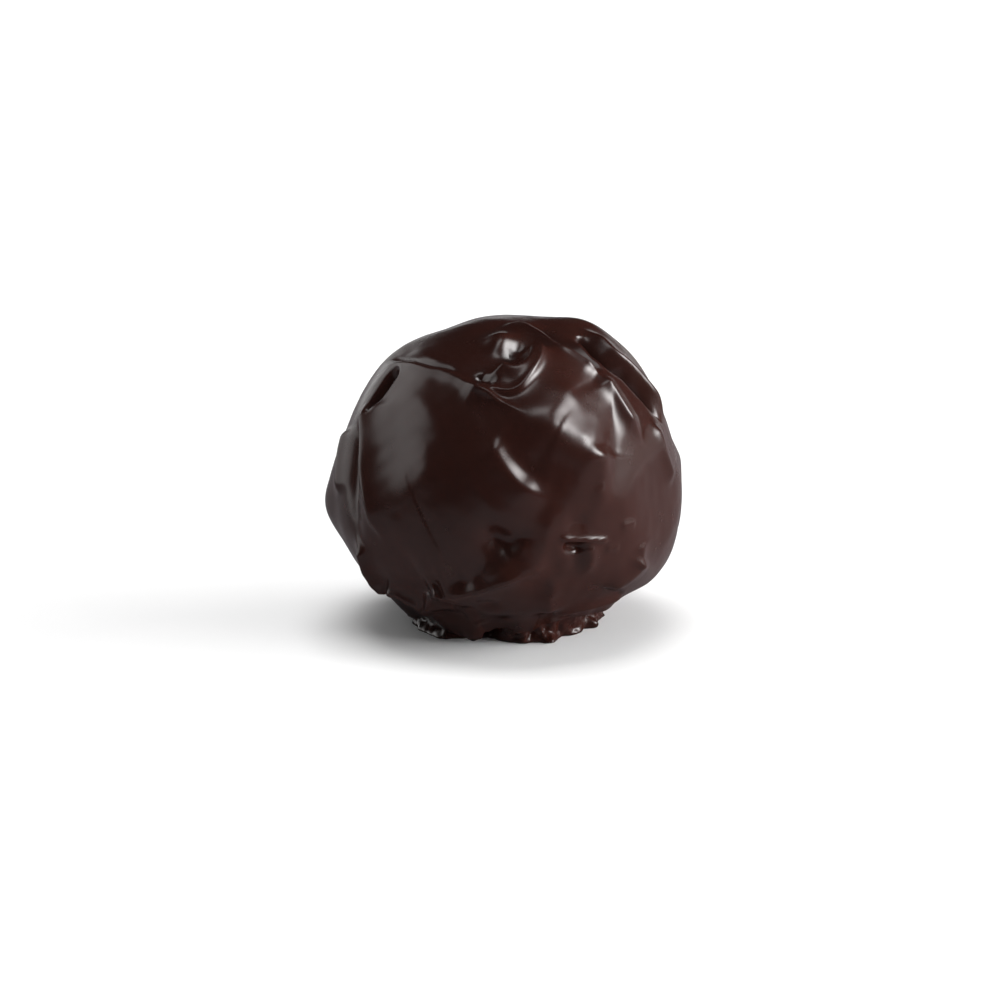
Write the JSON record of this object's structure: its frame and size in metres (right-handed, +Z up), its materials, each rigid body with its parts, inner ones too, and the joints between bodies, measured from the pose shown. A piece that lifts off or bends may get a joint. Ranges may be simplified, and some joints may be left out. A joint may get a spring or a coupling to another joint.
{
  "type": "chocolate truffle",
  "caption": "Round hand-dipped dark chocolate truffle with laps, ridges and pits in its soft-gloss coat, on a low ragged foot.",
  "frame": {"origin": "centre of the foot's flat underside, where the truffle rests", "axes": "+Z up, -Y towards the side with the deep pit above the foot, +X towards the shoulder with the long crevice"},
  "size_m": [0.0307, 0.0312, 0.0267],
  "materials": {
    "dark_chocolate": "soft-gloss tempered dark chocolate"
  },
  "bodies": {
    "root": {"truffle": "dark_chocolate"}
  },
  "joints": []
}
